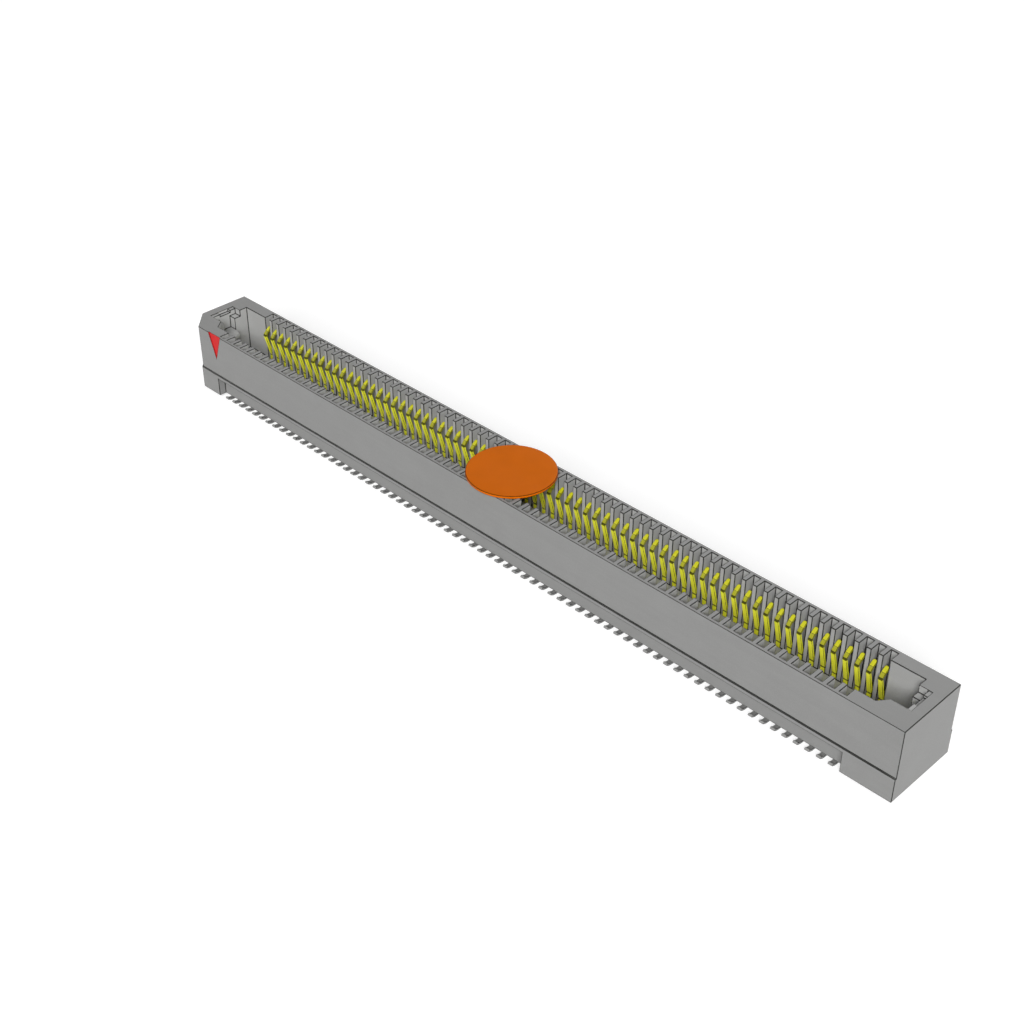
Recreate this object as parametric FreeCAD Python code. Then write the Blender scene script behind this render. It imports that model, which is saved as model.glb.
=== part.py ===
import FreeCAD, Part
import math
import os

# A dual-row board-to-board socket for surface mounting, as it sits on its board.
# Millimetres. X runs along the rows, Y across them and Z up from the board.
# The origin is midway between the rows, on the board under the solder feet.

# Contact rows
PITCH = 0.80
CONTACTS_PER_ROW = 70
CONTACTS_PER_BANK = 5

# Mating cavity, with the slots that the contacts bend in
CAVITY_WIDTH = 3.35
CAVITY_PAST_ROW = 2.50
SLOT_WIDTH = 0.46
SLOT_DEPTH = 0.765

# Pocket at each end of the cavity
POCKET_REACH = 0.87
POCKET_WIDTH = 2.05
KEY_SHOULDER = 0.45
KEY_SLOPE_LENGTH = 0.50

# Walls and levels of the moulded housing
HOUSING_HEIGHT = 5.10
BOARD_STANDOFF = 0.21
SIDE_WALL = 0.24
END_WALL = 0.73
CORNER_CHAMFER = 1.45
RECESS_HEIGHT = 1.43
FLOOR_OVER_RECESS = 0.27
LEDGE_OVER_RECESS = 0.30
LEDGE_PROUD = 0.10
RECESS_PAST_ROW = 0.68
WALL_BEHIND_PASSAGE = 0.29

# Rib, shelves and rounded nose moulded inside each pocket
RIB_THICKNESS = 0.28
RIB_BELOW_RIM = 0.06
RIB_NOTCH_WIDTH = 0.92
RIB_NOTCH_DEPTH = 0.18
RIB_NOTCH_OFFSET = 0.09
SHELF_WIDTH = 0.53
SHELF_BELOW_RIM = 0.50
SHELF_ROUNDING = 0.27
NOSE_RADIUS = 0.37
NOSE_BELOW_RIM = 1.43
NOSE_OVERHANG = 0.10

# Formed contact strip
STRIP_THICKNESS = 0.15
STRIP_WIDTH = 0.29
STEM_CLEARANCE = 0.105
ROOT_OVER_FLOOR = 0.285
KNEE_BELOW_RIM = 1.31
KNEE_REACH = 0.49
LEAD_IN_REACH = 0.255
LEAD_IN_RISE = 0.325
TIP_REACH = 0.375
TIP_RISE = 0.255
SOLE_LENGTH = 0.45
TOE_REACH = 0.45
TOE_RISE = 0.17

# Film pad that the placing machine lifts the socket by
PAD_DIAMETER = 6.00
PAD_THICKNESS = 0.20

# Coloured triangle that marks the end of contact one
MARKER_PAST_ROW = 0.73
MARKER_WIDTH = 1.40
MARKER_HEIGHT = 2.00
MARKER_RECESS = 0.07
MARKER_LINING = 0.02

# Extra length of a cutting solid past the face that it breaks through
OVERCUT = 1.0

# Positions that follow from the sizes above
BOTTOM_Z = BOARD_STANDOFF
RECESS_Z = BOTTOM_Z + RECESS_HEIGHT
FLOOR_Z = RECESS_Z + FLOOR_OVER_RECESS
LEDGE_Z = RECESS_Z + LEDGE_OVER_RECESS
RIM_Z = BOTTOM_Z + HOUSING_HEIGHT
SHELF_Z = RIM_Z - SHELF_BELOW_RIM
WALL_Y = CAVITY_WIDTH / 2
SLOT_END_Y = WALL_Y + SLOT_DEPTH
STEM_Y = WALL_Y + STEM_CLEARANCE
STEM_BACK_Y = STEM_Y + STRIP_THICKNESS
RECESS_Y = STEM_BACK_Y + WALL_BEHIND_PASSAGE
FACE_Y = SLOT_END_Y + SIDE_WALL
LEDGE_Y = FACE_Y + LEDGE_PROUD
ROW_END_X = PITCH * (CONTACTS_PER_ROW - 1) / 2
RECESS_END_X = ROW_END_X + RECESS_PAST_ROW
CAVITY_END_X = ROW_END_X + CAVITY_PAST_ROW
POCKET_END_X = CAVITY_END_X + POCKET_REACH
RIB_X = POCKET_END_X - RIB_THICKNESS
HOUSING_END_X = POCKET_END_X + END_WALL
POCKET_SIDE_Y = POCKET_WIDTH / 2
SHELF_Y = POCKET_SIDE_Y - SHELF_WIDTH
MARKER_X = -ROW_END_X - MARKER_PAST_ROW


def vec(x, y, z):
    return FreeCAD.Vector(x, y, z)


def prism(points, sweep):
    """Close the points into a flat face and sweep it into a solid."""
    wire = Part.makePolygon(points + [points[0]])
    return Part.Face(wire).extrude(sweep)


def upright_prism(outline, low_z, high_z):
    """A solid with one plan outline, between two heights."""
    points = [vec(x, y, low_z) for x, y in outline]
    return prism(points, vec(0, 0, high_z - low_z))


def block(x_ends, y_ends, z_ends):
    """A rectangular block between three pairs of limits, in either order."""
    low_x, high_x = sorted(x_ends)
    low_y, high_y = sorted(y_ends)
    low_z, high_z = sorted(z_ends)
    return Part.makeBox(high_x - low_x, high_y - low_y, high_z - low_z, vec(low_x, low_y, low_z))


def cross_cylinder(x, z, radius, low_y, high_y):
    """A round bar along Y between two limits."""
    return Part.makeCylinder(radius, high_y - low_y, vec(x, low_y, z), vec(0, 1, 0))


def row_positions():
    """X of every contact in a row, centred on the housing."""
    return [PITCH * index - ROW_END_X for index in range(CONTACTS_PER_ROW)]


def body_outline(side):
    """Plan of the housing, with the slanted corner at contact one."""
    end = HOUSING_END_X
    slant = [(-end, -side + CORNER_CHAMFER), (-end + CORNER_CHAMFER, -side)]
    return [(-end, side)] + slant + [(end, -side), (end, side)]


def slotted_wall(side):
    """Plan of one cavity wall from -X to +X, stepping out into every slot."""
    points = []
    for x in row_positions():
        left = x - SLOT_WIDTH / 2
        right = x + SLOT_WIDTH / 2
        points += [(left, side * WALL_Y), (left, side * SLOT_END_Y)]
        points += [(right, side * SLOT_END_Y), (right, side * WALL_Y)]
    return points


def pocket_outline():
    """Plan of the +X end pocket: square step at the rear, slanted key at the front."""
    slope_top_x = CAVITY_END_X - KEY_SHOULDER
    slope_foot_x = slope_top_x - KEY_SLOPE_LENGTH
    rear = [(CAVITY_END_X, WALL_Y), (CAVITY_END_X, POCKET_SIDE_Y), (POCKET_END_X, POCKET_SIDE_Y)]
    front = [(POCKET_END_X, -POCKET_SIDE_Y), (slope_top_x, -POCKET_SIDE_Y), (slope_foot_x, -WALL_Y)]
    return rear + front


def cavity_outline():
    """Plan of the whole cavity: two slotted walls joined by two equal pockets."""
    right_end = pocket_outline()
    left_end = [(-x, y) for x, y in reversed(right_end)]
    front_wall = list(reversed(slotted_wall(-1)))
    return slotted_wall(1) + right_end + front_wall + left_end


def contact_passages(side):
    """A passage in the floor of every slot, whose outer wall backs the contact's stem."""
    y_ends = (side * WALL_Y, side * STEM_BACK_Y)
    z_ends = (BOTTOM_Z - OVERCUT, FLOOR_Z + OVERCUT)
    return [block((x - SLOT_WIDTH / 2, x + SLOT_WIDTH / 2), y_ends, z_ends) for x in row_positions()]


def foot_recess(side):
    """The long recess in one lower side, above a row of solder feet."""
    y_ends = (side * RECESS_Y, side * (LEDGE_Y + OVERCUT))
    return block((-RECESS_END_X, RECESS_END_X), y_ends, (BOTTOM_Z - OVERCUT, RECESS_Z))


def pocket_rib(side):
    """The notched rib along the end wall of one pocket."""
    top = RIM_Z - RIB_BELOW_RIM
    x_ends = (side * RIB_X, side * POCKET_END_X)
    rib = block(x_ends, (-POCKET_SIDE_Y, POCKET_SIDE_Y), (FLOOR_Z, top))
    notch_y = (RIB_NOTCH_OFFSET - RIB_NOTCH_WIDTH / 2, RIB_NOTCH_OFFSET + RIB_NOTCH_WIDTH / 2)
    return rib.cut(block(x_ends, notch_y, (top - RIB_NOTCH_DEPTH, top + OVERCUT)))


def rear_shelf(side):
    """The square-edged shelf along the rear side of one pocket, from the step to the rib."""
    return block((side * CAVITY_END_X, side * RIB_X), (SHELF_Y, POCKET_SIDE_Y), (FLOOR_Z, SHELF_Z))


def front_shelf(side):
    """The shelf along the front side of one pocket, rounded towards the cavity."""
    y_ends = (-POCKET_SIDE_Y, -SHELF_Y)
    centre_x = side * (CAVITY_END_X + SHELF_ROUNDING)
    centre_z = SHELF_Z - SHELF_ROUNDING
    lower = block((side * CAVITY_END_X, side * RIB_X), y_ends, (FLOOR_Z, centre_z))
    upper = block((centre_x, side * RIB_X), y_ends, (centre_z, SHELF_Z))
    return lower.fuse([upper, cross_cylinder(centre_x, centre_z, SHELF_ROUNDING, *y_ends)])


def pocket_nose(side):
    """The rounded nose between the two shelves, on a web that stands on the floor."""
    centre_z = RIM_Z - NOSE_BELOW_RIM - NOSE_RADIUS
    centre_x = CAVITY_END_X - NOSE_OVERHANG
    web = block((side * centre_x, side * RIB_X), (-SHELF_Y, SHELF_Y), (FLOOR_Z, RIM_Z - NOSE_BELOW_RIM))
    return web.fuse(cross_cylinder(side * centre_x, centre_z, NOSE_RADIUS, -SHELF_Y, SHELF_Y))


def marker_prism(inset, front_y, back_y):
    """A triangle standing on its tip, with its top edge level with the rim."""
    half_width = MARKER_WIDTH / 2
    slant = math.hypot(half_width, MARKER_HEIGHT)
    top_half = half_width - inset * slant / MARKER_HEIGHT
    tip_z = RIM_Z - MARKER_HEIGHT + inset * slant / half_width
    left = vec(MARKER_X - top_half, front_y, RIM_Z)
    right = vec(MARKER_X + top_half, front_y, RIM_Z)
    tip = vec(MARKER_X, front_y, tip_z)
    return prism([left, right, tip], vec(0, back_y - front_y, 0))


def make_housing():
    """The one-piece moulded housing."""
    lower = upright_prism(body_outline(LEDGE_Y), BOTTOM_Z, LEDGE_Z)
    upper = upright_prism(body_outline(FACE_Y), BOTTOM_Z, RIM_Z)
    cavity = upright_prism(cavity_outline(), FLOOR_Z, RIM_Z + OVERCUT)
    marker = marker_prism(0, -FACE_Y, -FACE_Y + MARKER_RECESS)
    openings = [cavity, marker, foot_recess(-1), foot_recess(1)]
    openings += contact_passages(-1) + contact_passages(1)
    fittings = []
    for side in (-1, 1):
        fittings += [pocket_rib(side), rear_shelf(side), front_shelf(side), pocket_nose(side)]
    return lower.fuse(upper).cut(openings).fuse(fittings).removeSplitter()


def make_marker():
    """The coloured lining on the floor and the two slanted sides of the triangle."""
    filled = marker_prism(0, -FACE_Y, -FACE_Y + MARKER_RECESS)
    return filled.cut(marker_prism(MARKER_LINING, -FACE_Y, -FACE_Y + MARKER_RECESS - MARKER_LINING))


def make_pad():
    """The round film pad laid across the rim."""
    return Part.makeCylinder(PAD_DIAMETER / 2, PAD_THICKNESS, vec(0, 0, RIM_Z))


def contact_face():
    """Side view (Y, Z) of a rear contact's cavity face, from the toe up to the tip."""
    heel = (STEM_Y, 0.0)
    sole = (STEM_Y + SOLE_LENGTH, 0.0)
    toe = (sole[0] + TOE_REACH, TOE_RISE)
    root = (STEM_Y, FLOOR_Z + ROOT_OVER_FLOOR)
    knee = (STEM_Y - KNEE_REACH, RIM_Z - KNEE_BELOW_RIM)
    lead_in = (knee[0] + LEAD_IN_REACH, knee[1] + LEAD_IN_RISE)
    tip = (lead_in[0] + TIP_REACH, lead_in[1] + TIP_RISE)
    return [toe, sole, heel, root, knee, lead_in, tip]


def strip_back(face, thickness):
    """The other side of a bent strip, mitred at every bend."""
    normals = []
    for start, end in zip(face, face[1:]):
        run_y = end[0] - start[0]
        run_z = end[1] - start[1]
        length = math.hypot(run_y, run_z)
        normals.append((run_z / length, -run_y / length))
    before = [normals[0]] + normals
    after = normals + [normals[-1]]
    back = []
    for point, first, second in zip(face, before, after):
        share = thickness / (1 + first[0] * second[0] + first[1] * second[1])
        shift_y = share * (first[0] + second[0])
        shift_z = share * (first[1] + second[1])
        back.append((point[0] + shift_y, point[1] + shift_z))
    return back


def make_contact(side):
    """One contact at X zero, a bent strip whose back runs straight from the knee to the tip."""
    face = contact_face()
    back = strip_back(face, STRIP_THICKNESS)
    del back[-2]
    outline = face + list(reversed(back))
    points = [vec(-STRIP_WIDTH / 2, side * y, z) for y, z in outline]
    return prism(points, vec(STRIP_WIDTH, 0, 0))


def contact_banks(row_name, side):
    """A row of contacts in banks of neighbours, by node name."""
    contact = make_contact(side)
    positions = row_positions()
    banks = {}
    for start in range(0, CONTACTS_PER_ROW, CONTACTS_PER_BANK):
        members = [contact.translated(vec(x, 0, 0)) for x in positions[start:start + CONTACTS_PER_BANK]]
        name = "%s_contacts_%02d" % (row_name, start // CONTACTS_PER_BANK + 1)
        banks[name] = Part.makeCompound(members)
    return banks


def build():
    """Every piece of the socket, by node name."""
    nodes = {
        "housing": make_housing(),
        "pick_and_place_pad": make_pad(),
        "pin_one_marker": make_marker(),
    }
    nodes.update(contact_banks("front", -1))
    nodes.update(contact_banks("rear", 1))
    return nodes


os.makedirs("parts", exist_ok=True)
for node_name, shape in build().items():
    shape.exportStep("parts/%s.step" % node_name)
    print(node_name, len(shape.Solids), "solids", round(shape.Volume, 4), "mm3")
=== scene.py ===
# %% [markdown]
# # Dressing a board-to-board socket
#
# This lesson puts the looks on a fine-pitch socket: a long moulded housing, two rows of
# bent metal contacts, a round film pad and a red triangle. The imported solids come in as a
# fixed frame in metres, and every finished piece is made in that same frame.

# %% Load the frame
import bmesh
import bpy
import math
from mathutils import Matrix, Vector


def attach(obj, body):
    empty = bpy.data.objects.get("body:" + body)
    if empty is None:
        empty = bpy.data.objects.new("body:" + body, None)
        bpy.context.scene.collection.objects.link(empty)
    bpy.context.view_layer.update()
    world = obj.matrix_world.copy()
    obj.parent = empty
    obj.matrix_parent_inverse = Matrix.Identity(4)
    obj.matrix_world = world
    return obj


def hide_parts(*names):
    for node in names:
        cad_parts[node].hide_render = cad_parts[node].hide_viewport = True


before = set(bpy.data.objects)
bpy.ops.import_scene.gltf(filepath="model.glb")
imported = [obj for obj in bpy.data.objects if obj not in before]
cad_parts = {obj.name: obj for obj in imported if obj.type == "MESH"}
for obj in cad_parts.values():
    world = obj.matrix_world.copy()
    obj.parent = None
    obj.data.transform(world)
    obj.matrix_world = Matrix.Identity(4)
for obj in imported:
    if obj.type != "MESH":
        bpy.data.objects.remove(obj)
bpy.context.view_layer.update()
MM = 0.001


def box_of(node):
    """The lowest and the highest corner of one solid's box, in metres."""
    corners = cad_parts[node].bound_box
    return [Vector([pick(corner[axis] for corner in corners) for axis in range(3)])
            for pick in (min, max)]


housing_low, housing_high = box_of("housing")
print("solids loaded:", len(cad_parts), "nodes")
print("housing %.2f mm long" % ((housing_high.x - housing_low.x) / MM))

# %% [markdown]
# ## Camera
#
# The photograph looks down on one long side and one end of the socket, from 45 degrees round
# and 35 degrees up. The camera's place and lens come from matching the housing's corners and
# the ends of the contact rows. It stands only ten centimetres away, so the near clipping
# distance has to be far smaller than usual.

# %% Make the camera
CAMERA_PLACE = Vector((61.046, -61.017, 63.233)) * MM
CAMERA_LENS = 56.712
CAMERA_TILT = math.radians(54.736)
CAMERA_TURN = math.radians(45)

camera_data = bpy.data.cameras.new("camera")
camera_data.lens = CAMERA_LENS
camera_data.sensor_width = 36
camera_data.clip_start = 1 * MM
camera_data.clip_end = 10
camera = bpy.data.objects.new("camera", camera_data)
camera.location = CAMERA_PLACE
camera.rotation_euler = (CAMERA_TILT, 0, CAMERA_TURN)
bpy.context.scene.collection.objects.link(camera)
bpy.context.scene.camera = camera
print("camera at", tuple(round(value, 4) for value in camera.location))

# %% [markdown]
# ## Node helpers
#
# Shader trees and geometry trees are both built from nodes and links, so short helpers serve
# both. The first two fill a socket with a value or a link, and add a node with its sockets
# filled. The third does one step of arithmetic, which both kinds of tree need all the time. The
# last two start a node group with named sockets and a material.


# %% Helpers for node trees
def fill(tree, socket, given):
    """Link a socket to another node's output, or set it to a plain value."""
    if isinstance(given, bpy.types.NodeSocket):
        tree.links.new(given, socket)
    else:
        socket.default_value = given


def add_node(tree, kind, values=None, **settings):
    """A node of one kind, with its settings, and its sockets filled by name or number."""
    node = tree.nodes.new(kind)
    for name, value in settings.items():
        setattr(node, name, value)
    for name, value in (values or {}).items():
        fill(tree, node.inputs[name], value)
    return node


def arithmetic(tree, operation, *values):
    """One step of arithmetic on sockets and numbers."""
    return add_node(tree, "ShaderNodeMath", dict(enumerate(values)), operation=operation).outputs[0]


def new_group(name, kind, inputs, outputs):
    """An empty node group with named sockets. Returns it with its two end nodes."""
    tree = bpy.data.node_groups.new(name, kind)
    for label, socket_type, default in inputs:
        socket = tree.interface.new_socket(label, in_out="INPUT", socket_type=socket_type)
        if default is not None:
            socket.default_value = default
    for label, socket_type in outputs:
        tree.interface.new_socket(label, in_out="OUTPUT", socket_type=socket_type)
    return tree, tree.nodes.new("NodeGroupInput"), tree.nodes.new("NodeGroupOutput")


def new_material(name, **fixed):
    """A material with one Principled shader. Values that never vary go on its own sockets."""
    material = bpy.data.materials.new(name)
    material.use_nodes = True
    shader = material.node_tree.nodes["Principled BSDF"]
    for label, value in fixed.items():
        shader.inputs[label.replace("_", " ")].default_value = value
    return material, material.node_tree, shader


print("node helpers ready")

# %% [markdown]
# ## Stage: floor, world and lamps
#
# The photograph has a plain white ground and almost no shading. A pale floor is the ground
# here. It is an ordinary matt surface, so that the socket's shadow stays on it, and a little
# glow that only the camera and mirror-like reflections see lifts it to white. The world does
# the same. Three soft lamps stand far off, so that both ends of the socket get the same light:
# a broad one high in front, which reaches down into the cavity, one low at the short end, and a
# low one behind for the side that the photograph hides.

# %% Build the stage
WHITE = (1, 1, 1, 1)
FLOOR_SIZE = 1.2
FLOOR_COLOUR = (0.55, 0.55, 0.55, 1)
FLOOR_ROUGHNESS = 0.9
FLOOR_LIFT = 0.60
SKY_LIGHT = 0.10
LAMP_DISTANCE = 1.5

# Each lamp's azimuth and elevation in degrees, width in metres and power in watts. The azimuth
# is 0 at -Y and 90 at +X.
LAMPS = {
    "main_lamp": (34, 35, 0.7, 27.0),
    "end_lamp": (95, 7, 0.6, 8.6),
    "back_lamp": (205, 4, 0.3, 24.0),
}


def seen_directly(tree):
    """1 where a camera, mirror-like or see-through ray meets the surface, 0 for other light."""
    rays = tree.nodes.new("ShaderNodeLightPath").outputs
    either = arithmetic(tree, "MAXIMUM", rays["Is Camera Ray"], rays["Is Glossy Ray"])
    return arithmetic(tree, "MAXIMUM", either, rays["Is Transmission Ray"])


floor_material, floor_tree, floor_shader = new_material(
    "floor_card", Base_Color=FLOOR_COLOUR, Roughness=FLOOR_ROUGHNESS, Specular_IOR_Level=0.0,
    Emission_Color=WHITE)
lift = arithmetic(floor_tree, "MULTIPLY", seen_directly(floor_tree), FLOOR_LIFT)
floor_tree.links.new(lift, floor_shader.inputs["Emission Strength"])

half = FLOOR_SIZE / 2
floor_mesh = bpy.data.meshes.new("floor")
floor_mesh.from_pydata([(-half, -half, 0), (half, -half, 0), (half, half, 0), (-half, half, 0)],
                       [], [(0, 1, 2, 3)])
floor_mesh.materials.append(floor_material)
floor = bpy.data.objects.new("floor", floor_mesh)
bpy.context.scene.collection.objects.link(floor)

world = bpy.data.worlds.new("studio")
world.use_nodes = True
bpy.context.scene.world = world
world_tree = world.node_tree
background = world_tree.nodes["Background"]
background.inputs["Color"].default_value = WHITE
strength = add_node(world_tree, "ShaderNodeMapRange", {
    "Value": seen_directly(world_tree), "To Min": SKY_LIGHT, "To Max": 1.0})
world_tree.links.new(strength.outputs["Result"], background.inputs["Strength"])


def soft_lamp(name, azimuth, elevation, width, watts):
    """A square area lamp that faces the socket, seen from it at the given angles."""
    turn, rise = math.radians(azimuth), math.radians(elevation)
    level = LAMP_DISTANCE * math.cos(rise)
    place = Vector((level * math.sin(turn), -level * math.cos(turn), LAMP_DISTANCE * math.sin(rise)))
    data = bpy.data.lights.new(name, "AREA")
    data.size = width
    data.energy = watts
    lamp = bpy.data.objects.new(name, data)
    lamp.location = place
    lamp.rotation_euler = (-place).to_track_quat("-Z", "Y").to_euler()
    bpy.context.scene.collection.objects.link(lamp)


for lamp_name, lamp_values in LAMPS.items():
    soft_lamp(lamp_name, *lamp_values)
print("stage ready, floor", FLOOR_SIZE, "m wide,", len(LAMPS), "lamps")

# %% [markdown]
# ## Effects that several finishes share
#
# Moulded plastic, plated metal and film all have a fine grain and slow changes of tone. Each
# effect is one node group with named inputs, built once. A group hands out only a value or a
# colour that varies, and each material decides where it goes. All of them read Object
# coordinates, which are metres on the real part, so a grain size is written as a real size.

# %% Group: fine grain
GRAIN_ROUGHNESS = 0.6


def grain_group():
    """Speckle of a given size in metres, stretched along X, as a value from 0 to 1."""
    tree, ends_in, ends_out = new_group(
        "fine grain", "ShaderNodeTree",
        [("Vector", "NodeSocketVector", None), ("Grain Size", "NodeSocketFloat", 0.05 * MM),
         ("Stretch", "NodeSocketFloat", 1.0), ("Detail", "NodeSocketFloat", 3.0)],
        [("Value", "NodeSocketFloat")])
    take = ends_in.outputs
    squeeze = arithmetic(tree, "DIVIDE", 1.0, take["Stretch"])
    shape = add_node(tree, "ShaderNodeCombineXYZ", {"X": squeeze, "Y": 1.0, "Z": 1.0})
    stretched = add_node(tree, "ShaderNodeVectorMath", {0: take["Vector"], 1: shape.outputs[0]},
                         operation="MULTIPLY")
    noise = add_node(tree, "ShaderNodeTexNoise", {
        "Vector": stretched.outputs[0], "Scale": arithmetic(tree, "DIVIDE", 1.0, take["Grain Size"]),
        "Detail": take["Detail"], "Roughness": GRAIN_ROUGHNESS})
    tree.links.new(noise.outputs["Fac"], ends_out.inputs["Value"])
    return tree


FINE_GRAIN = grain_group()
print("group:", FINE_GRAIN.name)


# %% Group: tone change
def tone_group():
    """A base colour made lighter or darker by a value round one half."""
    tree, ends_in, ends_out = new_group(
        "tone change", "ShaderNodeTree",
        [("Color", "NodeSocketColor", (0.5, 0.5, 0.5, 1)), ("Value", "NodeSocketFloat", 0.5),
         ("Amount", "NodeSocketFloat", 0.1)],
        [("Color", "NodeSocketColor")])
    take = ends_in.outputs
    centred = arithmetic(tree, "SUBTRACT", take["Value"], 0.5)
    gain = arithmetic(tree, "MULTIPLY_ADD", centred, take["Amount"], 1.0)
    toned = add_node(tree, "ShaderNodeVectorMath", {0: take["Color"], "Scale": gain},
                     operation="SCALE")
    tree.links.new(toned.outputs[0], ends_out.inputs["Color"])
    return tree


TONE_CHANGE = tone_group()
print("group:", TONE_CHANGE.name)


# %% Short calls for the shared effects
def object_place(tree):
    """Object coordinates in metres."""
    return tree.nodes.new("ShaderNodeTexCoord").outputs["Object"]


def apart(tree, vector):
    """The X, Y and Z of a vector, by name."""
    return add_node(tree, "ShaderNodeSeparateXYZ", {"Vector": vector}).outputs


def facing(tree, axis):
    """How squarely the surface faces along an axis, from 0 to 1, whichever way it faces."""
    normal = tree.nodes.new("ShaderNodeTexCoord").outputs["Normal"]
    return arithmetic(tree, "ABSOLUTE", apart(tree, normal)[axis])


def grain(tree, size, stretch=1.0, detail=3.0):
    """The fine grain group, read at the surface point."""
    return add_node(tree, "ShaderNodeGroup", {
        "Vector": object_place(tree), "Grain Size": size, "Stretch": stretch,
        "Detail": detail}, node_tree=FINE_GRAIN).outputs["Value"]


def tone(tree, colour, value, amount):
    """The tone change group on a colour or on another node's colour."""
    return add_node(tree, "ShaderNodeGroup", {"Color": colour, "Value": value, "Amount": amount},
                    node_tree=TONE_CHANGE).outputs["Color"]


def mixed(tree, share, first, second):
    """One colour turning into another as the share goes from 0 to 1."""
    node = add_node(tree, "ShaderNodeMix", data_type="RGBA")
    for label, given in (("Factor", share), ("A", first), ("B", second)):
        fill(tree, next(one for one in node.inputs if one.enabled and one.name == label), given)
    return next(one for one in node.outputs if one.enabled)


def bump(tree, height, distance, strength=1.0, under=None):
    """A Bump node, laid over another one where given."""
    node = add_node(tree, "ShaderNodeBump", {"Height": height, "Distance": distance,
                                             "Strength": strength})
    if under is not None:
        tree.links.new(under, node.inputs["Normal"])
    return node.outputs["Normal"]


def spread(tree, value, low, high, from_low=0.0, from_high=1.0):
    """A value moved from one range to another."""
    node = add_node(tree, "ShaderNodeMapRange", {
        "Value": value, "From Min": from_low, "From Max": from_high,
        "To Min": low, "To Max": high})
    return node.outputs["Result"]


print("effects ready")

# %% [markdown]
# ## Housing finish: grey moulded plastic
#
# The real housing is a glass-filled plastic in mid grey with a satin, slightly stony look.
# Up close it shows a fine speckle from the glass fibres, long faint streaks where the melt
# flowed along the mould, and edges that the mould left duller. Every rounded edge also gets
# painted shade, a near-black grey that draws a dark line along it. The edges are marked by an
# attribute on the mesh, made further down.
# The walls of the cavity get painted light: a paler grey that lifts the shade the cavity
# casts on them. A mask on place finds them: it starts a wall's thickness inside the housing's
# own box.

# %% Make the housing plastic
HOUSING_GREY = (0.268, 0.268, 0.264, 1)
# Painted light: the paler grey of the cavity's walls lifts their shade.
CAVITY_PAINTED_LIGHT_GREY = (0.390, 0.390, 0.384, 1)
# Painted shade: the near-black grey that every rounded edge of the housing gets.
PAINTED_EDGE_SHADE_GREY = (0.038, 0.038, 0.036, 1)
SPECKLE_SIZE = 0.045 * MM
SPECKLE_TONE = 0.22
SPECKLE_RELIEF = 0.004 * MM
STREAK_WIDTH = 0.35 * MM
STREAK_STRETCH = 14.0
STREAK_TONE = 0.12
STREAK_RELIEF = 0.006 * MM
MOTTLE_SIZE = 1.6 * MM
MOTTLE_TONE = 0.08
PLASTIC_ROUGHNESS = (0.50, 0.62)
EDGE_DULLNESS = 0.25

# From the housing's box to a plane inside its end wall, side wall, floor and rim.
IN_END_WALL = 0.70 * MM
IN_SIDE_WALL = 0.28 * MM
IN_FLOOR = 1.49 * MM
IN_RIM = 0.01 * MM


def inside_cavity(tree):
    """1 on the faces of the cavity, its slots and pockets, and 0 elsewhere."""
    place = apart(tree, object_place(tree))
    across = arithmetic(tree, "ABSOLUTE", place["Y"])
    along = arithmetic(tree, "ABSOLUTE", place["X"])
    limits = [("LESS_THAN", across, housing_high.y - IN_SIDE_WALL),
              ("LESS_THAN", along, housing_high.x - IN_END_WALL),
              ("LESS_THAN", place["Z"], housing_high.z - IN_RIM),
              ("GREATER_THAN", place["Z"], housing_low.z + IN_FLOOR)]
    inside = 1.0
    for comparison, value, limit in limits:
        inside = arithmetic(tree, "MULTIPLY", inside, arithmetic(tree, comparison, value, limit))
    return inside


def housing_plastic():
    """Satin grey plastic with speckle, flow streaks, painted shade on the edges and painted light in
    the cavity.
    """
    material, tree, shader = new_material("housing_plastic", Specular_IOR_Level=0.12)
    speckle = grain(tree, SPECKLE_SIZE)
    streaks = grain(tree, STREAK_WIDTH, stretch=STREAK_STRETCH, detail=2.0)
    mottled = grain(tree, MOTTLE_SIZE, detail=2.0)
    # Painted light: the walls of the cavity get the paler grey.
    colour = mixed(tree, inside_cavity(tree), HOUSING_GREY, CAVITY_PAINTED_LIGHT_GREY)
    colour = tone(tree, colour, speckle, SPECKLE_TONE)
    colour = tone(tree, colour, streaks, STREAK_TONE)
    colour = tone(tree, colour, mottled, MOTTLE_TONE)
    edge = add_node(tree, "ShaderNodeAttribute", attribute_name="edge").outputs["Fac"]
    # Painted shade: the rounded edges turn to the near-black grey.
    tree.links.new(mixed(tree, edge, colour, PAINTED_EDGE_SHADE_GREY), shader.inputs["Base Color"])
    rough = spread(tree, streaks, *PLASTIC_ROUGHNESS, from_low=0.3, from_high=0.7)
    duller = arithmetic(tree, "MULTIPLY_ADD", edge, EDGE_DULLNESS, rough)
    tree.links.new(duller, shader.inputs["Roughness"])
    flow = bump(tree, streaks, STREAK_RELIEF, strength=0.5)
    rough_flow = bump(tree, speckle, SPECKLE_RELIEF, strength=0.6, under=flow)
    tree.links.new(rough_flow, shader.inputs["Normal"])
    return material


HOUSING_PLASTIC = housing_plastic()
print("material:", HOUSING_PLASTIC.name)

# %% [markdown]
# ## Housing shape: softened edges
#
# No moulded edge is a knife edge. The solid already has every wall, slot, pocket and shelf in
# the right place, so the finished housing is a copy of it with its loose triangles joined, its
# flat faces made whole again, and a very small bevel on every corner. The bevel's own faces
# get a mark, which the plastic reads to paint shade on the edges.

# %% Helpers for finished pieces
EDGE_ROUNDING = 0.05 * MM
MERGE_DISTANCE = 0.0005 * MM

# A rounding takes at most this share of the shortest edge at its two ends.
ROOM_SHARE = 0.42

# The material number that tells a bevel's faces from the others, until they are marked.
BEVEL_SLOT = 1


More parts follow.
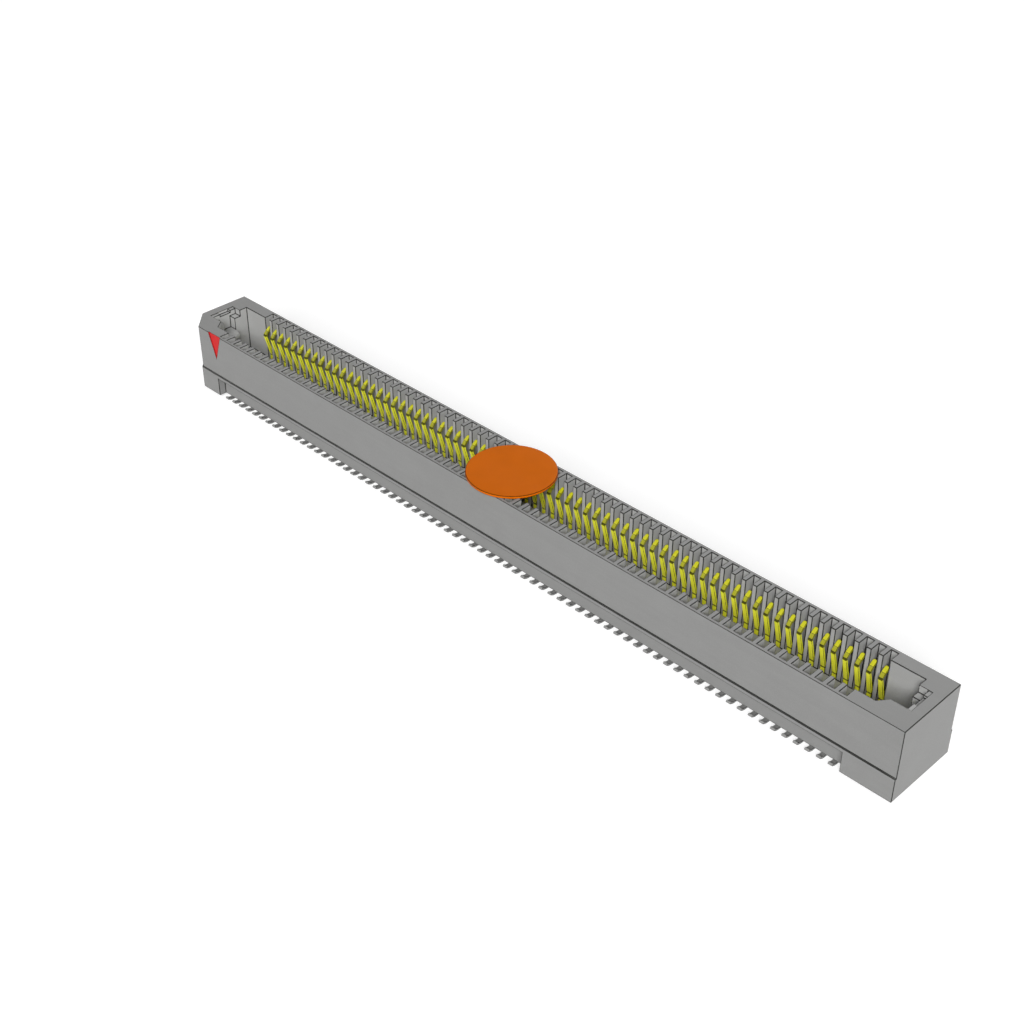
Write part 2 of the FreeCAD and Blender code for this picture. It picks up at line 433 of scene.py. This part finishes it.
def finished_piece(name, mesh, material, slot_name, *nodes):
    """A finished piece that rides on the one body and stands for CAD nodes."""
    if material.name not in mesh.materials:
        mesh.materials.clear()
        mesh.materials.append(material)
    piece = bpy.data.objects.new(name, mesh)
    bpy.context.scene.collection.objects.link(piece)
    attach(piece, "root")
    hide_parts(*nodes)


def joined_copy(node, flatness=0.5):
    """A copy of a node's mesh with doubled points merged and flat faces made whole."""
    mesh = bpy.data.meshes.new(node + "_finished")
    form = bmesh.new()
    form.from_mesh(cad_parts[node].data)
    bmesh.ops.remove_doubles(form, verts=form.verts, dist=MERGE_DISTANCE)
    bmesh.ops.dissolve_limit(form, angle_limit=math.radians(flatness), use_dissolve_boundaries=False,
                             verts=form.verts, edges=form.edges, delimit=set())
    form.to_mesh(mesh)
    form.free()
    return mesh


def weigh_edges(mesh, rounding, sharpness=30):
    """Give every sharp edge a bevel weight, less than full where a neighbour is very short."""
    form = bmesh.new()
    form.from_mesh(mesh)
    weights = []
    for edge in form.edges:
        sharp = len(edge.link_faces) == 2 and edge.calc_face_angle(0) > math.radians(sharpness)
        shortest = min(near.calc_length() for vert in edge.verts for near in vert.link_edges)
        weights.append(min(1.0, ROOM_SHARE * shortest / rounding) if sharp else 0.0)
    form.free()
    mesh.attributes.new("bevel_weight_edge", "FLOAT", "EDGE").data.foreach_set("value", weights)
    return sum(1 for weight in weights if 0 < weight < 1)


def with_modifiers(mesh, build):
    """The mesh as it is after the modifiers that build adds, with nothing left live."""
    carrier = bpy.data.objects.new("carrier", mesh)
    bpy.context.scene.collection.objects.link(carrier)
    build(carrier)
    seen = carrier.evaluated_get(bpy.context.evaluated_depsgraph_get())
    result = bpy.data.meshes.new_from_object(seen)
    bpy.data.objects.remove(carrier)
    return result


def mark_edges(mesh):
    """Turn the bevel faces' material number into an attribute that a material can read."""
    edge = mesh.attributes.new("edge", "FLOAT", "FACE")
    marks = [float(face.material_index == BEVEL_SLOT) for face in mesh.polygons]
    edge.data.foreach_set("value", marks)
    for face in mesh.polygons:
        face.material_index = 0
    mesh.materials.pop(index=BEVEL_SLOT)
    return int(sum(marks))


print("helpers for pieces ready")


# %% Make the housing
def housing_bevel(carrier):
    """A small rounding on every real corner, its faces given the second material number."""
    carrier.data.materials.clear()
    carrier.data.materials.append(HOUSING_PLASTIC)
    carrier.data.materials.append(HOUSING_PLASTIC)
    bevel = carrier.modifiers.new("edge rounding", "BEVEL")
    bevel.width = EDGE_ROUNDING
    bevel.segments = 2
    bevel.limit_method = "WEIGHT"
    bevel.use_clamp_overlap = False
    bevel.harden_normals = True
    bevel.material = BEVEL_SLOT


housing_form = joined_copy("housing")
print("edges with a smaller rounding:", weigh_edges(housing_form, EDGE_ROUNDING))
housing_mesh = with_modifiers(housing_form, housing_bevel)
edge_faces = mark_edges(housing_mesh)
finished_piece("housing_moulding", housing_mesh, HOUSING_PLASTIC, "housing", "housing")
print("housing:", len(housing_mesh.polygons), "faces, of them", edge_faces, "on rounded edges")

# %% [markdown]
# ## Contact finish: gold above, tin below
#
# Each contact is a stamped copper strip, plated twice: gold where the plug rubs on it and matt
# tin where it is soldered. The two meet inside the housing, so one material does both, with a
# mask on height. The plating line wavers a little because the strip hangs in a bath. Two more
# masks on height paint shade on the slopes above the knee, darker on the first slope and less
# on the second, as their facets would be shaded. An attribute from the geometry tree marks the
# cut edges and the bends, where the material paints dark lines of shade.

# %% Make the contact metal
GOLD = (1.000, 0.990, 0.050, 1)
# Painted shade: darker golds for the slope above the knee and the slope above the break.
KNEE_SHADED_GOLD = (0.330, 0.325, 0.005, 1)
TIP_SHADED_GOLD = (0.520, 0.510, 0.008, 1)
TIN = (0.23, 0.23, 0.225, 1)
# Painted shade: the share of the colour taken off the cut edges and the bends.
PAINTED_SHADE_DARKENING = 0.90
PLATING_LINE = 1.80 * MM
PLATING_WAVER = 0.12 * MM
PLATING_FADE = 0.05 * MM
KNEE_LINE = 4.02 * MM
BREAK_LINE = 4.30 * MM
SLOPE_FADE = 0.02 * MM
DRAWING_MARK_SIZE = 0.020 * MM
DRAWING_MARK_TONE = 0.30
DRAWING_MARK_RELIEF = 0.003 * MM
CLOUD_SIZE = 0.30 * MM
CLOUD_TONE = 0.16
TIN_ROUGHNESS = (0.45, 0.62)
GOLD_ROUGHNESS = (0.26, 0.40)


def contact_metal():
    """Gold plating above the line and matt tin below it, with drawing marks on both, and painted
    shade on the slopes above the knee and on the cut edges and bends.
    """
    material, tree, shader = new_material("contact_plating", Metallic=0.05)
    marks = grain(tree, DRAWING_MARK_SIZE, detail=2.0)
    cloud = grain(tree, CLOUD_SIZE, detail=2.0)
    height = apart(tree, object_place(tree))["Z"]
    waver = arithmetic(tree, "MULTIPLY_ADD", cloud, PLATING_WAVER, height)
    mask = spread(tree, waver, 0.0, 1.0, PLATING_LINE, PLATING_LINE + PLATING_FADE)
    gold = GOLD
    # Painted shade: above the knee line and the break line the gold turns to the darker golds.
    for line, above in ((KNEE_LINE, KNEE_SHADED_GOLD), (BREAK_LINE, TIP_SHADED_GOLD)):
        share = spread(tree, height, 0.0, 1.0, line, line + SLOPE_FADE)
        gold = mixed(tree, share, gold, above)
    gold = tone(tree, gold, cloud, CLOUD_TONE)
    tin = tone(tree, TIN, marks, DRAWING_MARK_TONE)
    plating = mixed(tree, mask, tin, gold)
    # Painted shade: the marked cut edges and bends are darkened almost to black.
    edge = add_node(tree, "ShaderNodeAttribute", attribute_name="edge").outputs["Fac"]
    left = arithmetic(tree, "MULTIPLY_ADD", edge, -PAINTED_SHADE_DARKENING, 1.0)
    dimmed = add_node(tree, "ShaderNodeVectorMath", {0: plating, "Scale": left}, operation="SCALE")
    tree.links.new(dimmed.outputs[0], shader.inputs["Base Color"])
    dull = add_node(tree, "ShaderNodeMix", {
        "Factor": mask, "A": spread(tree, marks, *TIN_ROUGHNESS),
        "B": spread(tree, cloud, *GOLD_ROUGHNESS)}, data_type="FLOAT")
    tree.links.new(dull.outputs["Result"], shader.inputs["Roughness"])
    tree.links.new(bump(tree, marks, DRAWING_MARK_RELIEF, strength=0.5), shader.inputs["Normal"])
    return material


CONTACT_METAL = contact_metal()
print("material:", CONTACT_METAL.name)

# %% [markdown]
# ## Contact rows
#
# A row is one bent strip repeated seventy times, which is what Geometry Nodes are for. The
# strip's side view is a handful of corners, each with its own bend radius and width: the curled
# toe, the flat sole, the heel, the root of the spring, the knee that the plug presses on, the
# two short slopes of the lead-in and the rounded tip. The tree rounds the corners, sweeps a
# flat section with broken edges along the line, sets its width, marks the cut edges and the
# bends where the material paints shade, and puts a copy at each step.

# %% Corners of one contact
PITCH = 0.80 * MM
CONTACTS_PER_ROW = 70
BANKS_PER_ROW = 14
STRIP_THICKNESS = 0.15 * MM
FULL_WIDTH = 0.33 * MM
BROKEN_EDGE = 0.02 * MM
BEND_STEPS = 4
STRIP_CREASE = math.radians(32)

# Distance from the centre plane, height, bend radius and share of the full width, along the
# middle of the strip from the toe to the tip. The painted shade lines are the shear line round
# the toe's end and the bends at the root, the knee and the break of the lead-in, by corner
# number. Faces whose corners average more than PAINTED_SHADE_LIMIT are marked, and the material
# paints them dark. The signs of the bends alternate, so that halfway between two of them the
# value is zero, and the half at the very end of the toe marks the band next to it but not the
# cut face.
CONTACT_CORNERS = [
    (2.636, 0.234, 0.00, 1.00),
    (2.595, 0.205, 0.00, 1.00),
    (2.412, 0.075, 0.68, 1.00),
    (1.855, 0.075, 0.19, 1.00),
    (1.855, 2.205, 0.45, 1.00),
    (1.362, 4.003, 0.12, 0.85),
    (1.590, 4.270, 0.05, 0.85),
    (1.868, 4.459, 0.00, 0.85),
    (1.911, 4.488, 0.00, 0.74),
    (1.938, 4.507, 0.00, 0.56),
    (1.950, 4.515, 0.00, 0.40),
]
PAINTED_SHADE_LINES = {0: 0.5, 1: 1.2, 4: -1.0, 5: 1.0, 6: -1.0}
PAINTED_SHADE_LIMIT = 0.75

# A broken edge slants halfway between the flat and the cut side, so the X of its normal is
# this, give or take the span.
SLANT = 0.7
SLANT_SPAN = 0.25


def centreline(name, side):
    """The middle line of one contact as a mesh of edges, with each corner's values on it."""
    mesh = bpy.data.meshes.new(name)
    points = [(0, side * reach * MM, height * MM) for reach, height, _, _ in CONTACT_CORNERS]
    mesh.from_pydata(points, [(i, i + 1) for i in range(len(points) - 1)], [])
    values = {"bend_radius": [radius * MM for _, _, radius, _ in CONTACT_CORNERS],
              "width_share": [share for _, _, _, share in CONTACT_CORNERS],
              "painted_shade_line": [PAINTED_SHADE_LINES.get(corner, 0.0) for corner in range(len(points))]}
    for label, numbers in values.items():
        mesh.attributes.new(label, "FLOAT", "POINT").data.foreach_set("value", numbers)
    return mesh


print("one contact has", len(CONTACT_CORNERS), "corners")


# %% Tree: a row of formed contacts
def contact_row_tree():
    """Sweeps a centreline into a strip and repeats it along X."""
    tree, ends_in, ends_out = new_group(
        "contact row", "GeometryNodeTree",
        [("Centreline", "NodeSocketGeometry", None), ("Contacts", "NodeSocketInt", 1),
         ("Pitch", "NodeSocketFloat", PITCH), ("Thickness", "NodeSocketFloat", STRIP_THICKNESS),
         ("Full Width", "NodeSocketFloat", FULL_WIDTH),
         ("Broken Edge", "NodeSocketFloat", BROKEN_EDGE), ("Bend Steps", "NodeSocketInt", BEND_STEPS),
         ("Material", "NodeSocketMaterial", None)],
        [("Row", "NodeSocketGeometry")])
    take = ends_in.outputs

    def carried(label):
        """A value that the centreline's points hand on to the strip."""
        return add_node(tree, "GeometryNodeInputNamedAttribute", {"Name": label},
                        data_type="FLOAT").outputs["Attribute"]

    def sums(operation, *values):
        """One step of arithmetic in this tree."""
        return arithmetic(tree, operation, *values)

    line = add_node(tree, "GeometryNodeMeshToCurve", {"Mesh": take["Centreline"]})
    rounded = add_node(tree, "GeometryNodeFilletCurve", {
        "Curve": line.outputs["Curve"], "Count": take["Bend Steps"],
        "Radius": carried("bend_radius")}, mode="POLY")
    section = add_node(tree, "GeometryNodeCurvePrimitiveQuadrilateral", {
        "Width": take["Full Width"], "Height": take["Thickness"]})
    broken = add_node(tree, "GeometryNodeFilletCurve", {
        "Curve": section.outputs["Curve"], "Count": 1, "Radius": take["Broken Edge"]}, mode="POLY")
    strip = add_node(tree, "GeometryNodeCurveToMesh", {
        "Curve": rounded.outputs["Curve"], "Profile Curve": broken.outputs["Curve"],
        "Fill Caps": True})
    across = apart(tree, tree.nodes.new("GeometryNodeInputNormal").outputs[0])["X"]
    slanted = sums("COMPARE", sums("ABSOLUTE", across), SLANT, SLANT_SPAN)
    # Painted shade: the bends are marked, with the cut edges, for the material to darken.
    shaded_bend = sums("GREATER_THAN", sums("ABSOLUTE", carried("painted_shade_line")), PAINTED_SHADE_LIMIT)
    marked = add_node(tree, "GeometryNodeStoreNamedAttribute", {
        "Geometry": strip.outputs["Mesh"], "Name": "edge",
        "Value": sums("MAXIMUM", slanted, shaded_bend)}, data_type="FLOAT", domain="FACE")
    place = apart(tree, tree.nodes.new("GeometryNodeInputPosition").outputs[0])
    moved = add_node(tree, "ShaderNodeCombineXYZ", {
        "X": sums("MULTIPLY", place["X"], carried("width_share")), "Y": place["Y"], "Z": place["Z"]})
    shaped = add_node(tree, "GeometryNodeSetPosition", {
        "Geometry": marked.outputs["Geometry"], "Position": moved.outputs[0]})
    step = add_node(tree, "ShaderNodeCombineXYZ", {"X": take["Pitch"]})
    gaps = sums("SUBTRACT", take["Contacts"], 1.0)
    half_row = sums("MULTIPLY", sums("MULTIPLY", gaps, take["Pitch"]), -0.5)
    start = add_node(tree, "ShaderNodeCombineXYZ", {"X": half_row})
    places = add_node(tree, "GeometryNodeMeshLine", {
        "Count": take["Contacts"], "Start Location": start.outputs[0], "Offset": step.outputs[0]})
    copies = add_node(tree, "GeometryNodeInstanceOnPoints", {
        "Points": places.outputs["Mesh"], "Instance": shaped.outputs["Geometry"]})
    real = add_node(tree, "GeometryNodeRealizeInstances", {"Geometry": copies.outputs["Instances"]})
    plated = add_node(tree, "GeometryNodeSetMaterial", {
        "Geometry": real.outputs["Geometry"], "Material": take["Material"]})
    tree.links.new(plated.outputs["Geometry"], ends_out.inputs["Row"])
    return tree


CONTACT_ROW = contact_row_tree()
print("tree:", CONTACT_ROW.name, "with", len(CONTACT_ROW.nodes), "nodes")


# %% Make the two rows
def set_inputs(modifier, values):
    """Set a tree's inputs by the identifiers of its named sockets."""
    for socket in modifier.node_group.interface.items_tree:
        if socket.name in values:
            modifier[socket.identifier] = values[socket.name]


def signed_volume(mesh):
    """Positive where the faces point outwards."""
    form = bmesh.new()
    form.from_mesh(mesh)
    volume = form.calc_volume(signed=True)
    form.free()
    return volume


def contact_row(row_name, side):
    """One finished row, which stands for its banks of solids."""
    def build(carrier):
        modifier = carrier.modifiers.new("contact row", "NODES")
        modifier.node_group = CONTACT_ROW
        set_inputs(modifier, {"Contacts": CONTACTS_PER_ROW, "Material": CONTACT_METAL})

    mesh = with_modifiers(centreline(row_name + "_line", side), build)
    if signed_volume(mesh) < 0:
        mesh.flip_normals()
    mesh.shade_smooth()
    mesh.set_sharp_from_angle(angle=STRIP_CREASE)
    banks = ["%s_contacts_%02d" % (row_name, number + 1) for number in range(BANKS_PER_ROW)]
    finished_piece(row_name + "_contact_row", mesh, CONTACT_METAL, "contacts", *banks)
    print(row_name, "row:", len(mesh.polygons), "faces,",
          "volume of one contact %.4f mm3" % (signed_volume(mesh) / CONTACTS_PER_ROW / MM ** 3))


contact_row("front", -1)
contact_row("rear", 1)

# %% [markdown]
# ## Film pad
#
# A round piece of orange film covers the middle of the socket, so that a suction nozzle can
# pick it up. Film is thin, glossy and never quite flat: it dips a little where it bridges the
# cavity, and its cut edge is slightly rounded, with painted shade on the rounding. The disc is
# rings of points round a centre, with the dip worked out at each point, and the surface's own
# normal tells the rounded edges, where the shade is painted, from the flat faces. Its radius and
# heights come from the solid's box. The radius is a hair less, so that the finished piece stays
# inside that box.

# %% Make the film
FILM_ORANGE = (0.590, 0.124, 0.001, 1)
# Painted shade: the dark colour of the film's rounded edges.
FILM_EDGE_SHADE = (0.090, 0.022, 0.002, 1)
FILM_ROUGHNESS = (0.30, 0.44)
HAZE_SIZE = 0.030 * MM
HAZE_TONE = 0.10
HAZE_RELIEF = 0.002 * MM
WAVE_SIZE = 1.4 * MM
WAVE_TONE = 0.14
WAVE_RELIEF = 0.030 * MM

# On the rounded edges the upright part of the normal lies between these two.
EDGE_TURN_LOW = 0.12
EDGE_TURN_HIGH = 0.985


def film():
    """Glossy orange film with a faint waviness, a fine haze and painted shade in a dark line at its
    rounded cut edges.
    """
    material, tree, shader = new_material("pad_film", Specular_IOR_Level=0.03, Coat_Weight=0.02,
                                          Coat_Roughness=0.12)
    haze = grain(tree, HAZE_SIZE, detail=2.0)
    waves = grain(tree, WAVE_SIZE, detail=1.0)
    level = facing(tree, "Z")
    rounded = arithmetic(tree, "MULTIPLY", arithmetic(tree, "GREATER_THAN", level, EDGE_TURN_LOW),
                         arithmetic(tree, "LESS_THAN", level, EDGE_TURN_HIGH))
    # Painted shade: the rounded edges turn dark.
    colour = mixed(tree, rounded, FILM_ORANGE, FILM_EDGE_SHADE)
    colour = tone(tree, colour, waves, WAVE_TONE)
    tree.links.new(tone(tree, colour, haze, HAZE_TONE), shader.inputs["Base Color"])
    tree.links.new(spread(tree, haze, *FILM_ROUGHNESS), shader.inputs["Roughness"])
    ripple = bump(tree, waves, WAVE_RELIEF, strength=0.35)
    hazy_ripple = bump(tree, haze, HAZE_RELIEF, strength=0.4, under=ripple)
    tree.links.new(hazy_ripple, shader.inputs["Normal"])
    return material


PAD_FILM = film()
print("material:", PAD_FILM.name)

# %% Make the pad
pad_low, pad_high = box_of("pick_and_place_pad")
PAD_MARGIN = 0.0008 * MM
PAD_RADIUS = min(pad_high.x, pad_high.y) - PAD_MARGIN
PAD_ROUNDING = 0.04 * MM
PAD_ROUNDING_STEPS = 4
PAD_DIP = 0.02 * MM
PAD_SPOKES = 96
PAD_RING_SHARES = (0.25, 0.5, 0.7, 0.85, 0.94)
PAD_CREASE = math.radians(40)
CAVITY_HALF_WIDTH = 1.675 * MM


def film_pad():
    """The disc, from the middle of its top face round the edge to the middle of its underside."""
    turns = [math.radians(90 * step / PAD_ROUNDING_STEPS) for step in range(PAD_ROUNDING_STEPS + 1)]
    corner = [(PAD_RADIUS - PAD_ROUNDING * (1 - math.sin(turn)), PAD_ROUNDING * (1 - math.cos(turn)))
              for turn in turns]
    rings = [(PAD_RADIUS * share, 0.0) for share in PAD_RING_SHARES]
    side_view = [(radius, pad_high.z - drop) for radius, drop in rings + corner]
    side_view += [(radius, pad_low.z + drop) for radius, drop in reversed(rings + corner)]
    form = bmesh.new()
    loops = []
    for radius, height in side_view:
        loop = []
        for spoke in range(PAD_SPOKES):
            turn = 2 * math.pi * spoke / PAD_SPOKES
            x, y = radius * math.cos(turn), radius * math.sin(turn)
            bridging = max(0.0, 1 - abs(y) / CAVITY_HALF_WIDTH) * (1 - (radius / PAD_RADIUS) ** 2)
            loop.append(form.verts.new((x, y, height - PAD_DIP * math.sin(bridging * math.pi / 2))))
        loops.append(loop)
    for upper, lower in zip(loops, loops[1:]):
        for spoke in range(PAD_SPOKES):
            after = (spoke + 1) % PAD_SPOKES
            form.faces.new((upper[spoke], lower[spoke], lower[after], upper[after]))
    for loop, height in ((loops[0], pad_high.z), (loops[-1], pad_low.z)):
        middle = form.verts.new((0, 0, height - PAD_DIP))
        for spoke in range(PAD_SPOKES):
            form.faces.new((middle, loop[spoke], loop[(spoke + 1) % PAD_SPOKES]))
    bmesh.ops.recalc_face_normals(form, faces=form.faces)
    mesh = bpy.data.meshes.new("film_pad")
    form.to_mesh(mesh)
    form.free()
    mesh.shade_smooth()
    mesh.set_sharp_from_angle(angle=PAD_CREASE)
    return mesh


pad_mesh = film_pad()
finished_piece("film_pad_disc", pad_mesh, PAD_FILM, "film_pad", "pick_and_place_pad")
print("pad:", len(pad_mesh.polygons), "faces")

# %% [markdown]
# ## Pin-one triangle
#
# The end of contact one is marked by a small triangle sunk into the side wall and lined with
# red ink. The solid is the right shape, a shallow tray, so it stays and only gets its finish:
# an ink film with a slightly uneven cover and a soft shine, with painted shade on the slanted
# walls of the recess. The surface's own normal tells the walls from the floor.

# %% Make the marker ink
INK_RED = (0.600, 0.016, 0.017, 1)
# Painted shade: the darker red of the recess's slanted walls.
RECESS_WALL_SHADE_RED = (0.200, 0.005, 0.006, 1)
INK_ROUGHNESS = (0.30, 0.50)
COVER_SIZE = 0.12 * MM
COVER_TONE = 0.30
COVER_RELIEF = 0.010 * MM
PIGMENT_SIZE = 0.03 * MM
PIGMENT_TONE = 0.12

# The triangle's floor faces straight along Y, and its slanted walls less squarely than this.
FLOOR_LIMIT = 0.9


def marker_ink():
    """Red ink with an uneven cover, and painted shade on the two slanted walls of the recess."""
    material, tree, shader = new_material("marker_ink", Specular_IOR_Level=0.12)
    cover = grain(tree, COVER_SIZE)
    pigment = grain(tree, PIGMENT_SIZE, detail=2.0)
    # Painted shade: the slanted walls of the recess get the darker red.
    shaded_walls = arithmetic(tree, "LESS_THAN", facing(tree, "Y"), FLOOR_LIMIT)
    colour = mixed(tree, shaded_walls, INK_RED, RECESS_WALL_SHADE_RED)
    colour = tone(tree, colour, cover, COVER_TONE)
    tree.links.new(tone(tree, colour, pigment, PIGMENT_TONE), shader.inputs["Base Color"])
    tree.links.new(spread(tree, cover, *INK_ROUGHNESS), shader.inputs["Roughness"])
    tree.links.new(bump(tree, cover, COVER_RELIEF, strength=0.5), shader.inputs["Normal"])
    return material


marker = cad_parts["pin_one_marker"]
marker.data.materials.clear()
marker.data.materials.append(marker_ink())
print("marker finished")

# %% [markdown]
#
# The Standard view shows a colour about as it is written.

# %% Set the colour view
bpy.context.scene.view_settings.view_transform = "Standard"
